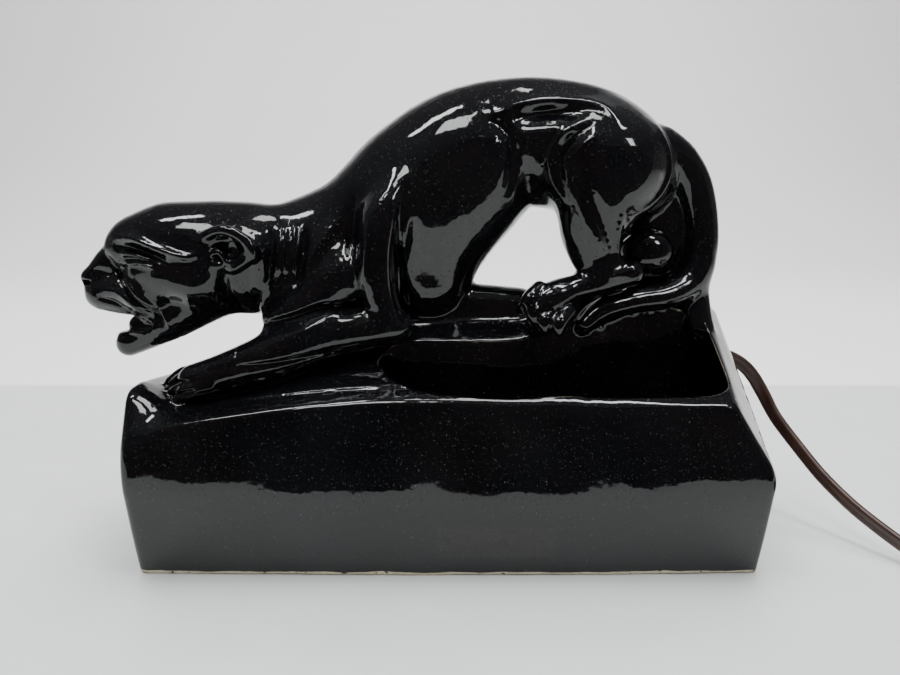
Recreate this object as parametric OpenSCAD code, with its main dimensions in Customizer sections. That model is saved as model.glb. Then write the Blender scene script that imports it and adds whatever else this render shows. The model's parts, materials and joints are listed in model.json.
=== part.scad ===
// Panther television lamp: a glazed ceramic rock base with a planter well, a stalking panther
// on top, and a small candelabra lamp in a niche behind. Millimetres, +Z up, front towards -Y.

/* [Rock base] */
// Overall width of the rock base
base_w = 210; // [206:1:214]
// Overall depth of the rock base, front crease to back
base_d = 84; // [84:1:92]
// Height of the front top edge of the rock
front_h = 59; // [57:1:61]
// Height of the ledge behind the planter
ledge_h = 86; // [85:1:90]
// Ceramic wall thickness
wall = 5; // [4:0.5:6]
// Thickness of the planter floor
floor_t = 7; // [5:1:12]

/* [Lamp] */
// Height of the lamp axis above the foot
lamp_z = 62; // [61:0.5:62.5]
// Distance of the lamp axis behind the centre of the base
lamp_y = 21; // [20:0.5:21.5]
// Inner face of the wall that the socket is fixed to
socket_x = 98; // [96:0.5:99]
// Radius of the candelabra bulb at its widest
bulb_r = 11.4; // [9:0.2:11.4]
// Outer radius of the brass socket shell
shell_r = 11.8; // [11.6:0.1:11.8]

/* [Cord] */
// Width of the flat lamp cord
cord_w = 5.2; // [5:0.1:5.4]
// Outer radius of the stored coil
coil_r = 38; // [37:1:40]

/* [Hidden] */

half_d = base_d / 2;
base_right = 117;
base_left = base_right - base_w;
gap = 0.1;               // running clearance between round parts
ball_fn = 16;            // facets round each ball of the figure
eps = 0.5;               // how far a cutter runs past a face

// ---- shared helpers ----

// Extrudes an outline drawn in X and Z along Y, from y0 to y1.
module along_y(y0, y1) {
    translate([0, y1, 0]) rotate([90, 0, 0]) linear_extrude(y1 - y0) children();
}

// Extrudes an outline drawn in Y and Z along X, from x0 to x1.
module along_x(x0, x1) {
    translate([x0, 0, 0]) rotate([90, 0, 90]) linear_extrude(x1 - x0) children();
}

// Turns an outline of [radius, distance into the niche] about the lamp axis.
module turned(outline) {
    translate([socket_x, lamp_y, lamp_z]) rotate([0, -90, 0])
        rotate_extrude($fn = 48) polygon(outline);
}

// A plain ring about the lamp axis.
module ring(r_in, r_out, s0, s1) {
    turned([[r_in, s0], [r_out, s0], [r_out, s1], [r_in, s1]]);
}

// A round rod along Y that crosses the lamp axis at distance s into the niche.
module cross_rod(s, r, y0, y1) {
    translate([socket_x - s, lamp_y + y1, lamp_z]) rotate([90, 0, 0]) cylinder(r = r, h = y1 - y0, $fn = 32);
}

// A chain of balls [x, y, z, radius], each pair blended into one limb. flat narrows it in Y.
module limb(balls, flat = 1) {
    for (i = [0 : len(balls) - 2])
        hull() {
            ball(balls[i], flat);
            ball(balls[i + 1], flat);
        }
}

module ball(b, flat = 1) {
    translate([b[0], b[1], b[2]]) scale([1, flat, 1]) sphere(r = b[3], $fn = ball_fn);
}

// ---- ceramic casting ----

left_h = 49;             // height of the front edge at the left end
crease_z = 25;           // height of the crease along the front face
slope_y = 4;             // where the sloping top reaches the ledge
elbow_x = -5;
ledge_x = 34;
niche_top = 76;
niche_floor = 34;
niche_left = -8;
niche_front = 6;
seat_x = socket_x + wall + 0.5;

// The rock without any hollow: a front outline crossed with a side outline.
module rock_block() {
    intersection() {
        along_y(-half_d, half_d)
            polygon([
                [base_left + 2, 0], [base_left, 6], [base_left, left_h - 4], [base_left + 3, left_h + 3],
                [base_left + 12, left_h + 9], [elbow_x - 50, 66], [elbow_x, 75], [ledge_x, ledge_h],
                [96, ledge_h - 2], [104, ledge_h - 4], [110, ledge_h - 9], [base_right, 40],
                [base_right, 34], [base_right - 2, 6], [base_right - 4, 0]
            ]);
        along_x(base_left, base_right)
            polygon([
                [3 - half_d, 0], [-half_d, crease_z], [4 - half_d, front_h - 2], [6 - half_d, front_h],
                [slope_y, ledge_h - 4], [slope_y + 6, ledge_h + 1], [half_d - 8, ledge_h + 1],
                [half_d - 2, ledge_h - 6], [half_d, ledge_h - 14], [half_d, 8], [half_d - 3, 0]
            ]);
        right_corner_cut();
        left_edge_cut();
    }
}

// Keeps what lies behind the big facet at the front right corner.
module right_corner_cut() {
    translate([base_right, 1 - half_d, 36]) rotate([0, 0, -21.7]) rotate([0, 56.6, 0])
        translate([-250, -150, -200]) cube([400, 400, 200]);
}

// Lowers the top edge towards the left end.
module left_edge_cut() {
    translate([-28, -half_d, front_h]) rotate([19, 0, 0]) rotate([0, -8.8, 0])
        translate([-100, -80, -200]) cube([400, 300, 200]);
    translate([-28, -half_d - 40, -10]) cube([160, 160, 120]);
}

// Plan of the planter's mouth: narrow at the left, wide at the right.
module well_plan() {
    hull() {
        translate([-4, 20 - half_d]) circle(r = 6, $fn = 32);
        translate([14, 22.5 - half_d]) circle(r = 12, $fn = 32);
        translate([52, 5.5 + 17 - half_d]) circle(r = 17, $fn = 32);
        translate([92, 14 - half_d]) circle(r = 7, $fn = 32);
        translate([93, -7]) circle(r = 8, $fn = 32);
        translate([60, -10]) circle(r = 10, $fn = 32);
    }
}

module rock_base() {
    color([0.02, 0.02, 0.025]) difference() {
        rock_block();
        translate([0, 0, floor_t]) linear_extrude(120) well_plan();
        // lamp niche, open at the back
        along_y(niche_front, half_d + eps)
            polygon([
                [niche_left, niche_floor], [socket_x, niche_floor], [socket_x, niche_top],
                [16, niche_top], [niche_left, 69.5]
            ]);
        // hollows that the casting leaves underneath
        translate([niche_left, niche_front, -eps])
            cube([socket_x - niche_left + 4, half_d - niche_front - wall, niche_floor - wall + eps]);
        translate([base_left + 8, 9 - half_d, -eps]) cube([62, base_d - 17, 40 + eps]);
        // socket hole and the flat seat round it
        translate([socket_x - eps, lamp_y, lamp_z]) rotate([0, 90, 0]) cylinder(r = 5.2, h = 20, $fn = 48);
        translate([seat_x, lamp_y, lamp_z]) rotate([0, 90, 0]) cylinder(r = 10, h = 40, $fn = 48);
    }
}

// Torso from the chest over the arched back to the rump.
module torso() {
    limb([[-30, 4, 104, 20], [-16, 4, 112, 22], [6, 4, 123, 29], [24, 4, 136, 24], [38, 4, 141.5, 21],
          [56, 4, 139, 22], [72, 4, 130, 21]], 0.85);
    limb([[-16, 4, 104, 22], [2, 4, 106, 20], [14, 4, 118, 22]], 0.8);
}

module neck_and_head() {
    limb([[-30, 4, 106, 18], [-44, 1, 101, 18], [-58, -1, 101, 18]], 0.8);
    limb([[-60, -2, 104, 17], [-74, -4, 105, 16], [-88, -5, 108, 12], [-99, -5, 105, 10]], 0.9);
    limb([[-84, -5, 100, 15], [-96, -5, 96, 13.5], [-104, -5, 94.5, 11.5]], 0.9);
    limb([[-70, -4, 96, 14], [-84, -4, 84, 9], [-98, -5, 75.5, 6.5]], 1);
    limb([[-100, -5, 88, 6], [-112, -5, 93.5, 5]], 1.5);
    for (side = [-1, 1])
        limb([[-70, -3 + side * 15, 110, 6], [-62, -3 + side * 16, 107, 8]], 0.7);
}

// A leg's chain of balls, the same on both sides apart from its own places.
module forelegs() {
    limb([[-12, -9, 118, 13], [-7, -14, 98, 10], [-5, -16, 82, 8.5]]);
    limb([[-5, -16, 82, 8.5], [-28, -19, 77, 10], [-52, -20, 70, 8.5], [-70, -20, 63, 7], [-81, -20, 60, 7]]);
    limb([[-14, 14, 112, 13], [-24, 15, 90, 11], [-38, 8, 78, 9.5], [-56, 0, 70, 8.5], [-78, -4, 62, 8]]);
}

module hind_legs() {
    limb([[70, -8, 130, 17], [62, -12, 122, 14], [64, -13, 108, 8.5], [71, -12, 99, 6]]);
    limb([[71, -12, 99, 6], [58, -13, 93, 6], [46, -14, 86, 7.5], [42, -15, 84, 7]]);
    limb([[60, 14, 134, 15], [50, 16, 120, 10], [56, 16, 106, 7], [62, 15, 97, 7], [50, 12, 91, 6]]);
}

module tail_and_web() {
    limb([[84, 5, 132, 10], [95, 6, 127, 8.5], [100.5, 6, 111, 8], [99.5, 4, 98, 7.5], [92, 2, 90.5, 6.5],
          [78, -2, 87, 6], [66, -6, 85, 5], [58, -9, 80, 4.5], [51, -12, 76, 4]]);
    hull() {
        for (p = [[76, 96], [96, 95], [98, 120], [84, 132]])
            ball([p[0], 10, p[1], 5]);
    }
}

module panther_figure() {
    color([0.02, 0.02, 0.025]) difference() {
        union() {
            torso();
            neck_and_head();
            forelegs();
            hind_legs();
            tail_and_web();
        }
        rock_block();
        translate([0, 0, 60]) linear_extrude(27) well_plan();
    }
}

// ---- socket, from the wall inwards along the lamp axis ----

nipple_r = 4.8;
seat_s = -wall - 0.5;    // outer seat of the wall
washer_t = 1.5;
nut_t = 3.2;
block_s = 17;
block_end = 30;
shell_end = 44;

module socket_nipple() { color("goldenrod") ring(3.3, nipple_r, seat_s - washer_t - nut_t - 0.3, 7); }

module outer_washer() { color([0.1, 0.1, 0.1]) ring(nipple_r + gap, 8.5, seat_s - washer_t, seat_s); }

module outer_nut() {
    color("goldenrod") translate([socket_x - seat_s + washer_t, lamp_y, lamp_z]) rotate([0, 90, 0])
        difference() {
            cylinder(r = 7.8, h = nut_t, $fn = 6);
            translate([0, 0, -eps]) cylinder(r = nipple_r + gap, h = nut_t + 2 * eps, $fn = 48);
        }
}

// Plastic liner that keeps the cord off the edge of the nipple.
module cord_bushing() {
    mouth = seat_s - washer_t - nut_t - 0.3;
    color([0.16, 0.09, 0.06])
        turned([[2.7, mouth - 2], [4.2, mouth - 2], [4.7, mouth - 1.4], [4.7, mouth], [3.2, mouth],
                [3.2, mouth + 6], [2.7, mouth + 6]]);
}

module inner_washer() { color("silver") ring(nipple_r + gap, 8.5, 0, 1.2); }

module socket_cap() {
    color("goldenrod")
        turned([[nipple_r + gap, 1.2], [6.6, 1.2], [6.6, 5.5], [9, 7.2], [11.8, 10.5], [12.6, 14],
                [12.6, 17], [shell_r + gap, 17], [shell_r + gap, 14.4], [11.2, 12], [8.5, 8.6],
                [nipple_r + gap, 7.2]]);
}

module socket_shell() {
    color("goldenrod") difference() {
        turned([[shell_r - 0.6, 14.5], [shell_r, 14.5], [shell_r, 40], [shell_r + 0.5, 41], [shell_r + 0.5, 42],
                [shell_r, 43], [shell_r, shell_end], [shell_r - 0.6, shell_end]]);
        cross_rod(23, 2.4, 2, 20);
    }
}

module insulating_sleeve() {
    color([0.45, 0.33, 0.2]) difference() {
        ring(shell_r - 1.5, shell_r - 0.7, 15, shell_end + 1);
        cross_rod(23, 2.2, 2, 20);
    }
}

module socket_block() {
    color([0.07, 0.05, 0.04]) difference() {
        ring(0, shell_r - 1.6, block_s, block_end);
        cross_rod(23, 1.8, 3, 20);
    }
}

module screw_shell() {
    color("goldenrod")
        turned([[6.15, block_end], [8, block_end], [8, block_end + 0.5], [6.6, block_end + 0.5],
                for (i = [1 : 7]) [6.45 + 0.25 * (i % 2), block_end + 0.5 + 1.7 * i],
                [6.15, block_end + 12.4]]);
}

module centre_contact() {
    color("gold") turned([[0, block_end], [3, block_end], [3, block_end + 0.4], [2, block_end + 0.6],
                          [1.6, block_end + 1.2], [0, block_end + 1.2]]);
}

module terminal_screws() {
    color("silver") for (side = [-1, 1])
        translate([socket_x - block_s, lamp_y, lamp_z + side * 6]) rotate([0, 90, 0])
            cylinder(r1 = 2.6, r2 = 2.2, h = 1.8, $fn = 24);
}

// The two conductors, parted after the nipple and led to the screws.
module inner_leads() {
    color([0.2, 0.1, 0.06]) for (side = [-1, 1])
        hull() {
            translate([socket_x - 7.5, lamp_y, lamp_z + side * 1.6]) sphere(r = 1.2, $fn = 12);
            translate([socket_x - block_s + 3.2, lamp_y, lamp_z + side * 6]) sphere(r = 1.2, $fn = 12);
        }
}

module switch_shaft() { color("goldenrod") cross_rod(23, 1.6, 3.5, 16.5); }

module switch_knob() {
    color([0.07, 0.05, 0.04]) translate([socket_x - 23, lamp_y + 13.2, lamp_z]) rotate([-90, 0, 0])
        difference() {
            union() {
                cylinder(r = 2.8, h = 2.2, $fn = 32);
                translate([0, 0, 2]) cylinder(r1 = 4.6, r2 = 4, h = 4.6, $fn = 24);
            }
            translate([0, 0, -eps]) cylinder(r = 1.6, h = 3.3 + eps, $fn = 32);
        }
}

// ---- bulb ----

bulb_s = 31.3;           // where the bulb's contact touches the centre contact
base_s = bulb_s + 3;

module bulb_contact() { color("silver") turned([[0, bulb_s], [1.2, bulb_s + 0.2], [1.7, bulb_s + 1.2], [0, bulb_s + 1.2]]); }

module bulb_insulator() { color([0.03, 0.03, 0.03]) turned([[0, bulb_s + 1.2], [1.8, bulb_s + 1.2], [4.8, base_s], [0, base_s]]); }

module bulb_base() {
    color("gold") turned([
        [0, base_s], [5, base_s], for (i = [1 : 6]) [5.55 + 0.35 * (i % 2), base_s + 1.6 * i],
        [5.7, base_s + 12], [4.9, base_s + 12], [4.9, base_s + 0.6], [0, base_s + 0.6]
    ]);
}

glass_s = base_s + 12;   // where the glass leaves its base
tip_s = bulb_s + 54.5;

function bulb_outline(inset) = [
    [5.6 - inset, glass_s], [5.9 - inset, glass_s + 3], [8.2 - inset, glass_s + 7],
    [10.6 - inset, glass_s + 12], [bulb_r - inset, glass_s + 17], [bulb_r - 0.3 - inset, glass_s + 22],
    [9.6 - inset, glass_s + 28], [6.6 - inset, glass_s + 33.5], [3.4 - inset, glass_s + 37.2]
];

module bulb_glass() {
    inner = bulb_outline(0.8);
    color([0.9, 0.9, 0.88, 0.6]) turned(concat(
        bulb_outline(0), [[0, tip_s]], [[0, tip_s - 1.4]],
        [for (i = [len(inner) - 1 : -1 : 0]) inner[i]]
    ));
}

module bulb_stem() {
    color([0.85, 0.88, 0.88]) turned([[0, base_s + 2], [4.6, base_s + 2], [4.2, base_s + 4],
        [1.6, glass_s + 3], [1.3, glass_s + 9], [1.8, glass_s + 10], [0, glass_s + 10.8]]);
}

module bulb_supports() {
    color("silver") for (side = [-1, 1])
        hull() {
            translate([socket_x - glass_s - 9, lamp_y, lamp_z + side * 1.75]) sphere(r = 0.25, $fn = 8);
            translate([socket_x - glass_s - 20, lamp_y, lamp_z + side * 5]) sphere(r = 0.25, $fn = 8);
        }
}

module bulb_filament() {
    color([0.3, 0.3, 0.3]) translate([socket_x - glass_s - 20.4, lamp_y, lamp_z - 5])
        cylinder(r = 0.35, h = 10, $fn = 16);
}

// ---- cord ----

coil_x = 213;
coil_y = -50;
coil_h = 11;
coil_in = coil_r - 18.8;
cord_r = cord_w / 2;

// Where the cord leaves the bushing, arches over and comes down to the table.
lead_route = [
    [socket_x + 12.5, 21, 62], [116.5, 21, 61.8], [122.2, 21, 59.9], [127.2, 21, 56.6], [131.2, 20.7, 52],
    [134.8, 19.4, 45.8], [138.8, 15.6, 37.6], [144.5, 7.4, 28.8], [150, -2, 20.8], [156, -12, 14.3],
    [161, -20, 10.3], [166, -28, 7], [170.5, -35, 4.6], [174.2, -42, 3.2], [176.5, -50, 2.8]
];
// From the top of the coil down to the plug.
tail_route = [
    [coil_x + 33.5, -50, 8.2], [coil_x + 33.5, -40, 7.4], [coil_x + 32, -30, 5], [coil_x + 29, -20, 4.2],
    [coil_x + 26, -11, 5.6], [coil_x + 25, -2, 7]
];

// One span of a smooth curve through the points a, b, c, d, from b at t = 0 to c at t = 1.
function span(a, b, c, d, t) =
    0.5 * (2 * b + (c - a) * t + (2 * a - 5 * b + 4 * c - d) * t * t + (3 * b - a - 3 * c + d) * t * t * t);
function smooth(p, steps) = [
    for (i = [0 : len(p) - 2], k = [0 : steps - 1])
        span(p[max(i - 1, 0)], p[i], p[i + 1], p[min(i + 2, len(p) - 1)], k / steps),
    p[len(p) - 1]
];
function unit(v) = v / norm(v);

// A closed tube of round section swept along a line of points.
module swept_tube(line, r, sides = 8) {
    n = len(line);
    along = [for (i = [0 : n - 1]) unit(line[min(i + 1, n - 1)] - line[max(i - 1, 0)])];
    across = [for (a = along) unit(cross(a, [0.13, 0.21, 1]))];
    points = [
        for (i = [0 : n - 1], k = [0 : sides - 1])
            line[i] + r * (cos(360 * k / sides) * across[i] + sin(360 * k / sides) * cross(along[i], across[i]))
    ];
    faces = concat(
        [[for (k = [0 : sides - 1]) k]],
        [for (i = [0 : n - 2], k = [0 : sides - 1])
            let (j = (k + 1) % sides)
            [i * sides + k, (i + 1) * sides + k, (i + 1) * sides + j, i * sides + j]],
        [[for (k = [sides - 1 : -1 : 0]) (n - 1) * sides + k]]
    );
    polyhedron(points, faces, convexity = 6);
}

module cord_lead() { color([0.2, 0.1, 0.07]) swept_tube(smooth(lead_route, 2), cord_r); }

module cord_tail() { color([0.2, 0.1, 0.07]) swept_tube(smooth(tail_route, 2), cord_r); }

module cord_coil() {
    color([0.2, 0.1, 0.07]) translate([coil_x, coil_y, 0]) rotate_extrude($fn = 64)
        polygon([[coil_in, 0.1], [coil_r, 0.1], [coil_r, coil_h], [coil_in, coil_h]]);
}

// Wire tie round one side of the coil.
module cord_tie() {
    tie_w = 4;
    mid = (coil_in + coil_r) / 2;
    half = (coil_r - coil_in) / 2;
    color([0.1, 0.1, 0.1]) translate([coil_x, coil_y - mid, 0]) difference() {
        translate([-tie_w / 2, -half - 1.6, 0]) cube([tie_w, 2 * half + 3.2, coil_h + 1]);
        translate([-tie_w / 2 - eps, -half - 0.4, -eps]) cube([tie_w + 2 * eps, 2 * half + 0.8, coil_h + 0.1 + eps]);
    }
}

// ---- plug, lying flat with its blades pointing back ----

plug_y = -2;
plug_z = 7;
plug_len = 26;

module plug_body() {
    color([0.16, 0.09, 0.06]) translate([coil_x + 25, plug_y, plug_z]) hull() {
        rotate([-90, 0, 0]) cylinder(r = 4.2, h = 1, $fn = 32);
        translate([-9, 10, -6]) cube([18, 1, 12]);
        translate([-11.5, plug_len - 9, -6.6]) cube([23, 7, 13.2]);
    }
}

module plug_face() {
    color([0.28, 0.18, 0.12]) translate([coil_x + 25, plug_y + plug_len - 2, plug_z]) difference() {
        translate([-11, 0, -6.2]) cube([22, 1.6, 12.4]);
        for (side = [-1, 1])
            translate([side * 6.35 - 0.85, -eps, -3.25]) cube([1.7, 3, 6.5]);
    }
}

module plug_blades() {
    color("goldenrod") for (side = [-1, 1])
        translate([coil_x + 25 + side * 6.35, plug_y + plug_len - 2, plug_z]) difference() {
            translate([-0.75, 0, -3.15]) cube([1.5, 18.6, 6.3]);
            translate([-1, 14, 0]) rotate([0, 90, 0]) cylinder(r = 1.6, h = 2, $fn = 24);
        }
}

rock_base();
panther_figure();
socket_nipple();
outer_washer();
outer_nut();
cord_bushing();
inner_washer();
socket_cap();
socket_shell();
insulating_sleeve();
socket_block();
screw_shell();
centre_contact();
terminal_screws();
inner_leads();
switch_shaft();
switch_knob();
bulb_glass();
bulb_base();
bulb_insulator();
bulb_contact();
bulb_stem();
bulb_supports();
bulb_filament();
cord_lead();
cord_coil();
cord_tail();
cord_tie();
plug_body();
plug_face();
plug_blades();
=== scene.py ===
"""A black glazed panther television lamp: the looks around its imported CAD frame.

The ceramic is sculpted as a distance field, in millimetres, and meshed once. Everything else is
the CAD's own shape with detailed materials, and a flat cord swept along the CAD's route.
"""
import json
import math
from concurrent.futures import ThreadPoolExecutor

import bpy
import numpy as np
import openvdb
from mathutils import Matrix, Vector


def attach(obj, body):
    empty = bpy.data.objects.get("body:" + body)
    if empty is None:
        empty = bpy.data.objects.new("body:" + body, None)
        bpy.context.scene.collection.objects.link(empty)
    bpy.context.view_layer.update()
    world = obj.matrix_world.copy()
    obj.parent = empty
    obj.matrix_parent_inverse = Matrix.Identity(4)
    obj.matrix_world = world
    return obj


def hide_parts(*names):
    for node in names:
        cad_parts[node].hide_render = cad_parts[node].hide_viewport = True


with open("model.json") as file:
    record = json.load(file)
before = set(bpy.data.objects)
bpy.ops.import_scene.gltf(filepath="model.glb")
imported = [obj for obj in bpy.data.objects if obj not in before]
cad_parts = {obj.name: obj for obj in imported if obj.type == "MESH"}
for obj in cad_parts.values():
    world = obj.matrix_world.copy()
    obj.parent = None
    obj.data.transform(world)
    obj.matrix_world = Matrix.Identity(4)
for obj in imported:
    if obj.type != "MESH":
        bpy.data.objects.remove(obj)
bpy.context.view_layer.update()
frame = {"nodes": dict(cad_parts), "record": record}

MM = 0.001


# ---------------------------------------------------------------- camera, light and floor

LENS, SENSOR = 31.2, 36
CAMERA_PLACE = (0.012, -0.2745, 0.1325)
CAMERA_PITCH = 12.26        # degrees below the horizon


def make_camera():
    data = bpy.data.cameras.new("camera")
    data.lens = LENS
    data.sensor_width = SENSOR
    data.clip_start = 0.01
    camera = bpy.data.objects.new("camera", data)
    bpy.context.scene.collection.objects.link(camera)
    camera.location = CAMERA_PLACE
    camera.rotation_euler = (math.radians(90 - CAMERA_PITCH), 0, 0)
    bpy.context.scene.camera = camera


def add_area(name, place, aim, size, watts, colour=(1, 1, 1)):
    data = bpy.data.lights.new(name, "AREA")
    data.shape = "RECTANGLE"
    data.size, data.size_y = size
    data.energy = watts
    data.color = colour
    lamp = bpy.data.objects.new(name, data)
    bpy.context.scene.collection.objects.link(lamp)
    lamp.location = place
    lamp.rotation_euler = (Vector(aim) - Vector(place)).to_track_quat("-Z", "Y").to_euler()
    return lamp


def make_world():
    """A plain room: pale at the horizon and dim overhead."""
    world = bpy.data.worlds.new("studio")
    world.use_nodes = True
    tree = world.node_tree
    back = tree.nodes["Background"]
    place = tree.nodes.new("ShaderNodeTexCoord")
    split = tree.nodes.new("ShaderNodeSeparateXYZ")
    ramp = tree.nodes.new("ShaderNodeValToRGB")
    stops = [(0.0, 0.2), (0.12, 0.18), (0.4, 0.07), (1.0, 0.22)]
    while len(ramp.color_ramp.elements) < len(stops):
        ramp.color_ramp.elements.new(1)
    for element, (at, grey) in zip(ramp.color_ramp.elements, stops):
        element.position = at
        element.color = (grey, grey * 0.99, grey * 0.99, 1)
    tree.links.new(place.outputs["Generated"], split.inputs[0])
    tree.links.new(split.outputs["Z"], ramp.inputs["Fac"])
    tree.links.new(ramp.outputs["Color"], back.inputs["Color"])
    back.inputs["Strength"].default_value = 0.9
    bpy.context.scene.world = world


make_camera()


# ---------------------------------------------------------------- materials

class Nodes:
    """A small helper for building a material's node tree."""

    def __init__(self, name):
        self.material = bpy.data.materials.new(name)
        self.material.use_nodes = True
        self.tree = self.material.node_tree
        self.shader = self.tree.nodes["Principled BSDF"]

    def add(self, kind, **values):
        node = self.tree.nodes.new("ShaderNode" + kind)
        for key, value in values.items():
            setattr(node, key, value)
        return node

    def link(self, out, into):
        self.tree.links.new(out, into)

    def set(self, **values):
        for key, value in values.items():
            socket = self.shader.inputs[key.replace("_", " ")]
            socket.default_value = (*value, 1) if isinstance(value, tuple) else value

    def place(self):
        return self.add("TexCoord").outputs["Object"]

    def noise(self, scale, detail=2.0, stretch=(1, 1, 1), rough=0.5):
        move = self.add("Mapping")
        move.inputs["Scale"].default_value = stretch
        self.link(self.place(), move.inputs["Vector"])
        noise = self.add("TexNoise")
        noise.inputs["Scale"].default_value = scale
        noise.inputs["Detail"].default_value = detail
        noise.inputs["Roughness"].default_value = rough
        self.link(move.outputs["Vector"], noise.inputs["Vector"])
        return noise.outputs["Fac"]

    def ramp(self, fac, *stops):
        ramp = self.add("ValToRGB")
        while len(ramp.color_ramp.elements) < len(stops):
            ramp.color_ramp.elements.new(1)
        for element, (at, colour) in zip(ramp.color_ramp.elements, stops):
            element.position = at
            element.color = (*colour, 1) if isinstance(colour, tuple) else (colour, colour, colour, 1)
        self.link(fac, ramp.inputs["Fac"])
        return ramp.outputs["Color"]

    def mix(self, fac, a, b):
        mix = self.add("Mix", data_type="RGBA")
        for out, name in ((fac, "Factor"), (a, "A"), (b, "B")):
            kind = "VALUE" if name == "Factor" else "RGBA"
            socket = [s for s in mix.inputs if s.name == name and s.type == kind][0]
            if isinstance(out, tuple):
                socket.default_value = (*out, 1)
            elif isinstance(out, (int, float)):
                socket.default_value = out
            else:
                self.link(out, socket)
        return [s for s in mix.outputs if s.type == "RGBA"][0]

    def math(self, operation, a, b=None):
        node = self.add("Math", operation=operation)
        for socket, value in zip(node.inputs, (a, b)):
            if value is None:
                continue
            if isinstance(value, (int, float)):
                socket.default_value = value
            else:
                self.link(value, socket)
        return node.outputs[0]

    def attribute(self, name):
        return self.add("Attribute", attribute_name=name).outputs["Fac"]

    def millimetres(self):
        """The place on the object along X, Y and Z, in millimetres."""
        split = self.add("SeparateXYZ")
        self.link(self.place(), split.inputs[0])
        return [self.math("MULTIPLY", split.outputs[axis], 1 / MM) for axis in "XYZ"]

    def within(self, value, middle, half, soft):
        """1 where value is within half of middle, fading to 0 over soft."""
        gap = self.math("ABSOLUTE", self.math("SUBTRACT", value, middle))
        edge = self.math("DIVIDE", self.math("SUBTRACT", half, gap), soft)
        return self.math("MINIMUM", self.math("MAXIMUM", edge, 0), 1)

    def bump(self, height, strength, distance, under=None):
        bump = self.add("Bump")
        bump.inputs["Strength"].default_value = strength
        bump.inputs["Distance"].default_value = distance
        self.link(height, bump.inputs["Height"])
        if under is not None:
            self.link(under, bump.inputs["Normal"])
        return bump.outputs["Normal"]

    def to(self, out, name):
        self.link(out, self.shader.inputs[name])


def speckled(n, base, spots, scale, at, width):
    """base with small spots of another colour, where a fine noise passes at."""
    return n.mix(n.ramp(n.noise(scale, 1.0), (at, 0.0), (at + width, 1.0)), base, spots)


def glaze():
    n = Nodes("black_glaze")
    tint = n.ramp(n.noise(45, 3), (0.35, (0.0022, 0.0022, 0.003)), (0.7, (0.0045, 0.0048, 0.006)))
    dusty = speckled(n, tint, (0.11, 0.11, 0.10), 2300, 0.735, 0.02)
    # painted highlight, partly: the rim mask lays a cream colour over the planter's rim, for the thin glaze there
    # and also for the rim's highlight
    rim_thin_glaze_and_highlight = n.ramp(n.attribute("rim"), (0.5, 0.0), (0.95, 0.45))
    glaze_with_rim_highlight = n.mix(rim_thin_glaze_and_highlight, dusty, (0.42, 0.36, 0.27))
    clay = n.ramp(n.noise(600, 4, rough=0.7), (0.3, (0.62, 0.53, 0.36)), (0.62, (0.80, 0.72, 0.54)))
    spotted_clay = speckled(n, clay, (0.10, 0.07, 0.05), 420, 0.66, 0.03)
    x, y, z = n.millimetres()
    ragged = n.math("MULTIPLY", n.math("SUBTRACT", n.noise(55, 3), 0.5), 2.4)
    bare = n.within(n.math("ADD", z, ragged), -3, 4.4, 0.3)
    smudge = n.math("MULTIPLY", n.math("SUBTRACT", n.noise(260, 3), 0.5), 3)
    label = n.math("MULTIPLY", n.within(n.math("ADD", x, smudge), 27, 20, 1.5),
                   n.within(n.math("ADD", z, smudge), 13, 6.3, 1.2))
    film = n.math("MULTIPLY", n.math("MULTIPLY", label, n.within(y, -42, 8, 1)),
                  n.ramp(n.noise(420, 4), (0.35, 0.35), (0.6, 1.0)))
    n.to(n.mix(bare, n.mix(film, glaze_with_rim_highlight, (0.016, 0.014, 0.013)), spotted_clay), "Base Color")
    gloss = n.ramp(n.noise(60, 4), (0.3, 0.045), (0.75, 0.085))
    film = n.math("MULTIPLY", film, 0.5)
    n.to(n.math("MAXIMUM", n.math("MAXIMUM", gloss, n.math("MULTIPLY", bare, 0.8)), film), "Roughness")
    n.set(IOR=1.53)
    peel = n.bump(n.noise(150, 2), 0.10, 0.0012)
    waves = n.bump(n.noise(42, 1.5), 0.16, 0.0022, peel)
    specks = n.bump(n.ramp(n.noise(1500, 1), (0.70, 0.0), (0.74, 1.0)), 0.25, 0.0002, waves)
    n.to(specks, "Normal")
    return n.material


def metal(name, dark, light, rough, scale=300.0):
    n = Nodes(name)
    fac = n.noise(scale, 5, rough=0.6)
    n.to(n.ramp(fac, (0.3, dark), (0.7, light)), "Base Color")
    n.to(n.ramp(n.noise(scale * 0.4, 4), (0.3, rough * 0.7), (0.75, rough * 1.5)), "Roughness")
    n.set(Metallic=1.0)
    n.to(n.bump(n.noise(scale * 4, 2), 0.12, 0.0001), "Normal")
    return n.material


def moulded(name, dark, light, rough, grain=900.0):
    n = Nodes(name)
    n.to(n.ramp(n.noise(120, 4), (0.3, dark), (0.75, light)), "Base Color")
    n.to(n.ramp(n.noise(200, 3), (0.3, rough * 0.8), (0.8, rough * 1.35)), "Roughness")
    n.to(n.bump(n.noise(grain, 3), 0.2, 0.0001), "Normal")
    return n.material


def card():
    n = Nodes("fibre_card")
    fibres = n.noise(900, 5, stretch=(0.25, 1, 1), rough=0.7)
    n.to(n.ramp(fibres, (0.3, (0.20, 0.12, 0.06)), (0.7, (0.40, 0.27, 0.15))), "Base Color")
    n.set(Roughness=0.85)
    n.to(n.bump(fibres, 0.4, 0.00015), "Normal")
    return n.material


def clear_glass():
    n = Nodes("bulb_glass")
    n.set(Base_Color=(0.98, 0.99, 1.0), IOR=1.5, Transmission_Weight=1.0)
    n.to(n.ramp(n.noise(80, 3), (0.3, 0.01), (0.8, 0.05)), "Roughness")
    n.to(n.bump(n.noise(140, 1), 0.03, 0.0003), "Normal")
    return n.material


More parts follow.
